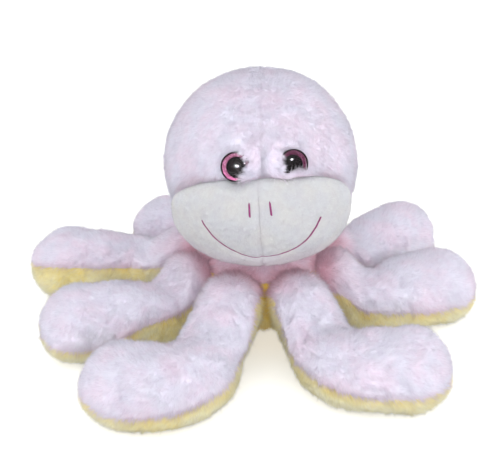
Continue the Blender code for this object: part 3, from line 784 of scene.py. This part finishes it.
roots = np.array([Arm(index).root for index in range(ARM_COUNT)])
for name, upper, look, slot, node in (
    ("torso_plush", True, pink_fur, "pink_plush", "torso_upper_skin"),
    ("base_plush", False, yellow_fur, "yellow_plush", "base_panel"),
):
    points, out = torso_grid(upper)
    normals = grid_normals(points, False, out)
    away = np.linalg.norm(points[..., None, :] - roots, axis=-1)
    fillet = np.exp(-(away - ROOT_RADIUS + ROOT_TUCK) / ROOT_FILLET).sum(-1)
    points += normals * (ROOT_FILLET * np.log1p(fillet))[..., None]
    nearest = away.min(-1)
    # Painted shade: the torso's and base's pile is darker all over, and more so next to the arms'
    # roots
    patch = Patch(
        points, normals, out * 0.3 - UP, length=1.3,
        crease=0.45 * hump(nearest - ROOT_EDGE, ROOT_EDGE_WIDE) + 0.5, keep=nearest > ROOT_OPENING,
    )
    data = furred(name, patch, SEED + 70 + upper, floor=FLOOR_GAP)
    piece = add_piece(name, data, "torso", look, slot, node)


# Face coordinates
muzzle_tilt = -MUZZLE_DROP / HEAD_RADIUS
face_ahead = heading(0) * math.cos(muzzle_tilt) + UP * math.sin(muzzle_tilt)
level_up = np.array((0, math.sin(muzzle_tilt), math.cos(muzzle_tilt)))
face_side = np.array((1.0, 0, 0)) * math.cos(FACE_ROLL) + level_up * math.sin(FACE_ROLL)
face_up = np.cross(face_ahead, face_side)


def face_point(across, up, out):
    """Points by arcs along the head from the face's middle, and a rise off it."""
    side_angle = across / HEAD_RADIUS
    up_angle = (up - MUZZLE_SAG * (across / MUZZLE_HALF_WIDTH) ** 2) / HEAD_RADIUS
    level = face_ahead * np.cos(side_angle)[..., None] + face_side * np.sin(side_angle)[..., None]
    way = level * np.cos(up_angle)[..., None] + face_up * np.sin(up_angle)[..., None]
    return HEAD_CENTRE + way * (HEAD_RADIUS + out)[..., None]


def face_arcs(points):
    """The arcs across and up that face_point would take to each point's direction."""
    way = unit(points - HEAD_CENTRE)
    up_angle = np.arcsin(np.clip(way @ face_up, -1, 1))
    across = np.arctan2(way @ face_side, way @ face_ahead) * HEAD_RADIUS
    return across, up_angle * HEAD_RADIUS + MUZZLE_SAG * (across / MUZZLE_HALF_WIDTH) ** 2


def settled_up(across, up):
    """Where the muzzle's cloth really lies: its shoulders sag, the left one more."""
    bow = (across / SHOULDER_SPAN) ** 2
    top = SHOULDER_RISE - bow * np.where(across < 0, *SHOULDER_SAGS)
    low = -bow * np.where(across < 0, *CHIN_SAGS)
    return up + np.where(up > 0, top, low) * mix(0, 1, np.abs(up) / (MUZZLE_HALF_HEIGHT * 0.9))


def outline_share(across, up):
    """How far out places are, as a share of the way to the muzzle's outline."""
    a = np.abs(across / MUZZLE_HALF_WIDTH) ** MUZZLE_SQUARE
    b = np.abs(up / MUZZLE_HALF_HEIGHT) ** MUZZLE_SQUARE
    return (a + b) ** (1 / MUZZLE_SQUARE)


smile_share = np.sin(np.linspace(-0.5, 0.5, 400) * math.pi)
smile_across = SMILE_HALF_WIDTH * smile_share + SMILE_RIGHT[0] * mix(0, 1, smile_share)
smile_up = SMILE_TOP - SMILE_DROP * (1 - smile_share ** 2) ** 0.95
smile_up += SMILE_RIGHT[1] * mix(0, 1, smile_share)


def stitch_distance(across, up):
    """How far places on the muzzle are from the smile."""
    near = np.full(across.shape, 1.0)
    for a, u in zip(smile_across[::4], smile_up[::4]):
        near = np.minimum(near, np.hypot(across - a, up - u))
    return near


def muzzle_rise(across, up):
    """The muzzle's height off the head: a pillow, a sewn middle seam, and the pull of the stitches."""
    share = outline_share(across, up)
    dome = np.sqrt(np.maximum(0, 1 - share ** 2)) ** MUZZLE_FULLNESS_SHARE
    places = np.stack([across, up, np.zeros_like(across)], -1)
    rise = MUZZLE_RISE - MUZZLE_SEAT - MIDDLE_PULL * hump(across, MIDDLE_WIDE)
    rise += MIDDLE_LIP * hump(across + MIDDLE_LIP_OUT, MIDDLE_LIP_WIDE)
    rise += lumps(places, MUZZLE_LUMPS, 90) + lumps(places, MUZZLE_RIPPLES, 91)
    return MUZZLE_SEAT + rise * dome - STITCH_PULL * hump(stitch_distance(across, up), STITCH_WIDE)


# Head
def head_grid(side_way, end_way):
    """Directions over a quarter of the head's ball between its seams."""
    low = {(-1, -1): -90, (1, -1): 0, (1, 1): 90, (-1, 1): 180}[side_way, end_way]
    azimuth = np.radians(low + np.linspace(0, 90, HEAD_GRID))
    polar = np.radians(np.linspace(*HEAD_POLES, HEAD_GRID))
    return heading(azimuth) * np.sin(polar)[:, None, None] + UP * np.cos(polar)[:, None, None]


def eye_way(side):
    """The direction of an eye from the head's middle."""
    across = EYE_ACROSS[side]
    top = (1 - abs(across / MUZZLE_HALF_WIDTH) ** MUZZLE_SQUARE) ** (1 / MUZZLE_SQUARE)
    up = MUZZLE_HALF_HEIGHT * top + EYE_CLEARS[side] + EYE_RADIUS - EYE_SETTLES[side]
    return unit(face_point(np.array(across), np.array(up), np.array(0.0)) - HEAD_CENTRE)


def eye_axes(side):
    """An eye's own direction, and the directions to the right and up on it."""
    level = unit(np.cross(UP, eye_ways[side]))
    return eye_ways[side], level, np.cross(eye_ways[side], level)


def eye_distance(side, way):
    return np.arccos(np.clip(way @ eye_ways[side], -1, 1)) * HEAD_RADIUS


def eye_lid(side, way):
    """How far the fur at each direction lies over its eye, from 0 to 1, and the direction in to it."""
    eye, level, high = eye_axes(side)
    place = np.stack([way @ level, way @ high], -1) * HEAD_RADIUS
    ragged = lumps(way * HEAD_RADIUS, LID_RAGGED, 95)
    step = LID_STEP + LID_SPREAD * np.maximum(0, np.linalg.norm(place, axis=-1) - EYE_RADIUS)
    over = np.zeros(way.shape[:-1])
    for aim, out in EYE_LIDS[side]:
        line = np.array((math.cos(math.radians(aim)), math.sin(math.radians(aim))))
        over = np.maximum(over, mix(0, 1, (place @ line - out + ragged) / step))
    return over, unit(eye - (way @ eye)[..., None] * way)


eye_ways = {side: eye_way(side) for side in EYE_ACROSS}
for side, side_way in SIDES:
    for end, end_way in (("front", -1), ("back", 1)):
        way = head_grid(side_way, end_way)
        points = HEAD_CENTRE + way * HEAD_RADIUS
        x, y, z = np.moveaxis(points, -1, 0)
        across, up = face_arcs(points)
        rim = outline_share(across, up)
        above = mix(0, 1, up / FACE_TOP)
        from_eye = eye_distance(side, way)
        crown = hump(np.arccos(np.clip(way @ CROWN, -1, 1)), CROWN_WIDE)
        seam = hump(np.minimum(np.abs(x), np.abs(y)), HEAD_SEAM_WIDE)
        seam *= mix(0, 1, (z - HEAD_HEIGHT - FACE_TOP) / FACE_TOP + (y > 0))
        rise = -PILE_ROOT - HEAD_SEAM_PULL * seam - CROWN_DROP * crown
        rise += lumps(points, HEAD_LUMPS, 100) + lumps(points, HEAD_RIPPLES, 101)
        rise -= (1.2 - 0.9 * above) * MM * hump(rim - 1.03, 0.07) * (y < 0)
        rise += EYE_SWELL * hump(from_eye - EYE_SWELL_AT, EYE_SWELL_WIDE)
        lid, inward = eye_lid(side, way)
        lid *= mix(1, 0, (from_eye - LID_FADE_AT) / LID_FADE_WIDE) * mix(0, 1, (rim - 0.96) / 0.08)
        over_eye = EYE_RIM + LENS_RISE * np.sqrt(np.maximum(0, 1 - (from_eye / EYE_RADIUS) ** 2))
        over_eye += from_eye ** 2 / (2 * HEAD_RADIUS) + LID_CLEAR
        rise += (over_eye - rise) * lid
        points = HEAD_CENTRE + way * (HEAD_RADIUS + rise)[..., None]
        edge = hump(rim - 1.06, 0.06) * (y < 0) * above
        parting = np.sign(points[..., :1]) * mix(0, 1, np.abs(points[..., :1]) / HEAD_PARTING)
        comb = HEAD_COMB + face_side * (0.35 * parting)
        comb = unit(comb - (comb * way).sum(-1, keepdims=True) * way) * (1 - lid)[..., None]
        grown = 1.0 + 0.2 * hump(from_eye - EYE_FRINGE_AT, EYE_FRINGE_WIDE) + 0.2 * lid + 1.1 * edge
        # Painted shade: darker pile on the head along the muzzle's edge
        patch = Patch(
            points, way, comb + inward * (1.6 * lid)[..., None],
            length=np.where((from_eye < EYE_BARE) & (lid < 0.4), 0.02, grown * (1 - 0.4 * crown)),
            crease=0.3 * hump(rim - 1.02, 0.05) * (y < 0), lean=PILE_LEAN + 0.1 * lid - 0.2 * edge,
            thick=1 + lid, keep=((rim > 0.93) | (y > 0)) & (from_eye > EYE_OPENING),
        )
        name = f"head_{end}_{side}_plush"
        data = furred(name, patch, SEED + 110 + 2 * (side_way > 0) + (end_way > 0))
        piece = add_piece(name, data, "head", pink_fur, "pink_plush", f"head_{end}_{side}_gore")

# Muzzle
for side, side_way in SIDES:
    share, turn = np.meshgrid(
        np.maximum(np.sin(np.linspace(0, 0.5, MUZZLE_GRID[0]) * math.pi), 0.002),
        np.linspace(-0.5, 0.5, MUZZLE_GRID[1]) * math.pi, indexing="ij",
    )
    square = np.abs(np.cos(turn)) ** MUZZLE_SQUARE + np.abs(np.sin(turn)) ** MUZZLE_SQUARE
    reach = share * square ** (-1 / MUZZLE_SQUARE)
    across = side_way * MUZZLE_HALF_WIDTH * reach * np.cos(turn)
    up = MUZZLE_HALF_HEIGHT * reach * np.sin(turn)
    settled = settled_up(across, up)
    way = unit(face_point(across, settled, 0 * up) - HEAD_CENTRE)
    room = np.clip((eye_distance("left", way) - EYE_RADIUS) * EYE_ROOM_SLOPE, *EYE_ROOM)
    rise = np.logaddexp(-muzzle_rise(across, up) / MUZZLE_SOFTNESS, -room / MUZZLE_SOFTNESS)
    points = face_point(across, settled, -MUZZLE_SOFTNESS * rise)
    beside = np.abs(across) - NOSTRIL_OUT
    beyond = np.abs(up - NOSTRIL_TOP + NOSTRIL_LENGTH / 2) - NOSTRIL_LENGTH / 2
    clear = np.minimum(stitch_distance(across, up), np.hypot(beside, np.maximum(beyond, 0)))
    # Painted shade: darker velvet along the middle seam and towards the chin
    low = mix(0, 1, (-up - CHIN_SHADE_AT) / CHIN_SHADE_WIDE)
    patch = Patch(
        points, grid_normals(points, False, way), -face_up + face_side * 0.5 * side_way,
        length=MUZZLE_NAP_SHARE * (1 - 0.75 * hump(clear, STITCH_BARE)),
        crease=0.1 * hump(across, MIDDLE_SHADE) + 0.6 * low,
    )
    name = f"muzzle_{side}_velvet"
    data = furred(name, patch, SEED + 130 + (side_way > 0), density=MUZZLE_PER_AREA)
    piece = add_piece(name, data, "head", white_fur, "white_plush", f"muzzle_{side}_panel")


# Embroidery
def thread_mesh(name, runs, radii):
    """Stitches: each run of points becomes a round thread that thins and dips at its ends."""
    points, faces = [], []
    turn = full_turn(THREAD_SIDES)[:, None]
    for run, radius in zip(runs, radii):
        ahead = unit(np.gradient(run, axis=0))
        out = unit(run - HEAD_CENTRE)
        side = unit(np.cross(ahead, out))
        lift = np.cross(side, ahead)
        share = np.linspace(-1, 1, len(run))
        thick = radius * np.sqrt(np.maximum(1 - share ** 6, 0.03))
        sunk = run - out * (0.55 * radius * share ** 4)[:, None]
        ring = side[:, None] * np.cos(turn) + lift[:, None] * np.sin(turn)
        faces.append(ring_faces(sum(len(block) for block in points), len(run), THREAD_SIDES))
        points.append((sunk[:, None] + ring * thick[:, None, None]).reshape(-1, 3))
    return new_mesh(name, np.concatenate(points), np.concatenate(faces))


def stitched(across, up, stitches, thickness):
    """Runs of points on the muzzle, one for each stitch along a line of places."""
    runs, radii = [], []
    place = np.linspace(0, len(across) - 1, stitches + 1)
    for low, high in zip(place, place[1:]):
        spots = np.linspace(low, high + 0.25 * (high - low), 10)
        a, u = (np.interp(spots, np.arange(len(values)), values) for values in (across, up))
        middle = np.interp((low + high) / 2, np.arange(len(across)), across)
        radius = THREAD_RADIUS * thickness(abs(middle) / SMILE_HALF_WIDTH, a.mean())
        runs.append(face_point(a, settled_up(a, u), muzzle_rise(a, u) + 0.35 * radius))
        radii.append(radius)
    return runs, radii


runs, radii = stitched(
    smile_across, smile_up, SMILE_STITCHES,
    lambda middle, across: 0.42 + 0.5 * min(middle * 1.2, 1) + (0.35 if across > 0 else 0) * middle,
)
add_piece("smile_stitches", thread_mesh("smile_stitches", runs, radii), "head", thread_look,
          "magenta_thread", "smile_thread")
for side, side_way in SIDES:
    up = np.linspace(NOSTRIL_TOP, NOSTRIL_TOP - NOSTRIL_LENGTH, 20)
    across = side_way * NOSTRIL_OUT + NOSTRIL_SHIFTS[side] - NOSTRIL_SLANT * (up - NOSTRIL_TOP)
    runs, radii = stitched(across, up, 1, lambda middle, across: 1.15)
    twin, twin_radii = stitched(
        across + NOSTRIL_TWIN[0], up + NOSTRIL_TWIN[1], 1, lambda middle, across: 1.0,
    )
    name = f"nostril_{side}_stitches"
    add_piece(name, thread_mesh(name, runs + twin, radii + twin_radii), "head", thread_look,
              "magenta_thread", f"nostril_{side}_thread")


# Eyes
def turned_mesh(name, profile):
    """A profile of radius and height turned about Z."""
    radius, height = np.array(profile).T[..., None]
    turn = full_turn(EYE_STEPS)
    points = np.stack([radius * np.cos(turn), radius * np.sin(turn), height + 0 * turn], -1)
    faces = ring_faces(0, len(profile), EYE_STEPS)[:, [0, 3, 2, 1]]
    return new_mesh(name, points.reshape(-1, 3), faces)


def rounded(corners, radius, steps=4):
    """A profile whose inner corners are rounded."""
    made = [corners[0]]
    for before, corner, after in zip(corners, corners[1:], corners[2:]):
        before, corner, after = (np.array(p) for p in (before, corner, after))
        back, on = before - corner, after - corner
        reach = min(radius, np.linalg.norm(back) / 2, np.linalg.norm(on) / 2)
        start, end = corner + unit(back) * reach, corner + unit(on) * reach
        for t in np.linspace(0, 1, steps):
            made.append(tuple((1 - t) ** 2 * start + 2 * t * (1 - t) * corner + t ** 2 * end))
    made.append(corners[-1])
    return made


cup = EYE_RADIUS - EYE_WALL
iris_inner, iris_low = PUPIL_RADIUS + EYE_GAP, EYE_FLOOR + EYE_GAP
iris_high = iris_low + IRIS_THICK
lens_low = iris_high + EYE_GAP
lens_radius = cup - EYE_GAP
dome_low = lens_low + LENS_EDGE
dome = [(lens_radius * math.sin(t), dome_low + LENS_RISE * math.cos(t))
        for t in np.linspace(0.001, math.pi / 2, 18)]
EYE_PIECES = {
    "backing": (rounded([
        (AXIS_RADIUS, iris_high), (PUPIL_RADIUS, iris_high), (PUPIL_RADIUS, EYE_FLOOR),
        (cup, EYE_FLOOR), (cup, EYE_RIM), (EYE_RADIUS, EYE_RIM), (EYE_RADIUS, 0), (STEM_RADIUS, 0),
        (STEM_RADIUS, -STEM_LENGTH), (AXIS_RADIUS, -STEM_LENGTH),
    ], EYE_ROUNDING), black_look, "black_plastic"),
    "iris": ([
        (iris_inner, iris_low), (iris_inner, iris_high),
        (lens_radius, iris_high), (lens_radius, iris_low),
    ], glitter_look, "glitter_film"),
    "lens": (dome + [(lens_radius, lens_low), (AXIS_RADIUS, lens_low)], lens_look, "clear_lens"),
}
for side in eye_ways:
    eye, level, high = eye_axes(side)
    seat = Vector(HEAD_CENTRE + eye * HEAD_SEAT)
    turn = Vector(eye).to_track_quat("Z", "Y").to_matrix().to_4x4()
    shift = Vector(PUPIL_SHIFTS[side][0] * level + PUPIL_SHIFTS[side][1] * high)
    for part, (profile, look, slot) in EYE_PIECES.items():
        name = f"eye_{side}_{part}_look"
        data = turned_mesh(name, profile)
        inner = [
            corner for corner in data.vertices
            if part != "lens" and corner.co.z > EYE_FLOOR - PUPIL_MARGIN
            and corner.co.xy.length < iris_inner + PUPIL_MARGIN
        ]
        data.transform(Matrix.Translation(seat) @ turn)
        for corner in inner:
            corner.co += shift
        if part == "iris":
            # Painted light: how low each point of the iris lies, for the brighter pink towards its
            # bottom
            add_values(data, "low", np.array([seat.z - corner.co.z for corner in data.vertices]) / cup)
        data.set_sharp_from_angle(angle=math.radians(50))
        add_piece(name, data, "head", look, slot, f"eye_{side}_{part}")

# CAD nodes that stay
for node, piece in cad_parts.items():
    look = {"washer": nylon_look, "stuffing": fibre, "thread": neck_look}.get(node.split("_")[-1])
    if look is not None:
        for place in piece.material_slots:
            place.material = look

# Floor and sky
floor_corners = FLOOR_REACH * np.array([(-1, -1, 0), (1, -1, 0), (1, 1, 0), (-1, 1, 0)])
floor_mesh = new_mesh("floor", floor_corners, np.array([(0, 1, 2, 3)]))
floor = new_object("floor", floor_mesh)
floor_look = Look("floor_look")
seen = floor_look.add("LightPath").outputs["Is Camera Ray"]
glow = floor_look.ranged(seen, 0.0, 1.0, 0.0, FLOOR_GLOW)
floor_look.surface({
    "Base Color": (0.92, 0.92, 0.92), "Roughness": 0.9, "Specular IOR Level": 0.1,
    "Emission Color": (1, 1, 1), "Emission Strength": glow,
})
floor_mesh.materials.append(floor_look.owner)

scene.world = bpy.data.worlds.new("studio")
sky = Look("studio", scene.world)
rays = sky.add("LightPath").outputs
dimmed = sky.ranged(rays["Is Glossy Ray"], 0.0, 1.0, SKY, GLOSSY_SKY)
strength = sky.add("Math", operation="MAXIMUM")
sky.give(strength.inputs, {0: rays["Is Camera Ray"], 1: dimmed})
sky.surface({"Color": (1, 1, 1), "Strength": strength.outputs["Value"]}, "Background")


# Lights and camera
def add_light(name, place, aim, power, size, high=None):
    """A disc that no gloss mirrors or, with a height, a panel that is only seen mirrored."""
    lamp = put(bpy.data.lights.new(name, "AREA"), size=size, energy=power,
               shape="RECTANGLE" if high else "DISK")
    lamp.size_y = high or size
    put(new_object(name, lamp), location=place, rotation_mode="QUATERNION",
        rotation_quaternion=(Vector(aim) - Vector(place)).to_track_quat("-Z", "Y"),
        visible_glossy=high is not None, visible_diffuse=high is None)


for name, place, size, power in LIGHTS:
    add_light(name, place, LIGHT_AIM, power, size)

camera_data = put(bpy.data.cameras.new("camera"), sensor_width=CAMERA_SENSOR, lens=CAMERA_LENS,
                  shift_x=CAMERA_SHIFT[0], shift_y=CAMERA_SHIFT[1])
scene.camera = put(
    new_object("camera", camera_data), location=CAMERA_PLACE, rotation_euler=(CAMERA_TILT, 0, 0),
)
scene.view_settings.view_transform = "Standard"

# A panel where the camera sees it mirrored in each eye's lens, right and up of the lens's middle
for side, (right, up) in GLINTS.items():
    eye, level, high = eye_axes(side)
    offset = level * right + high * up
    bulge = LENS_RISE * math.sqrt(1 - (right ** 2 + up ** 2) / lens_radius ** 2)
    spot = HEAD_CENTRE + eye * (HEAD_SEAT + dome_low + bulge) + offset
    normal = unit(offset / lens_radius ** 2 + eye * bulge / LENS_RISE ** 2)
    seen = unit(np.array(CAMERA_PLACE) - spot)
    place = spot + GLINT_AWAY * (2 * (normal @ seen) * normal - seen)
    add_light(f"{side}_glint", place, spot, GLINT_POWER, *GLINT_SIZE)
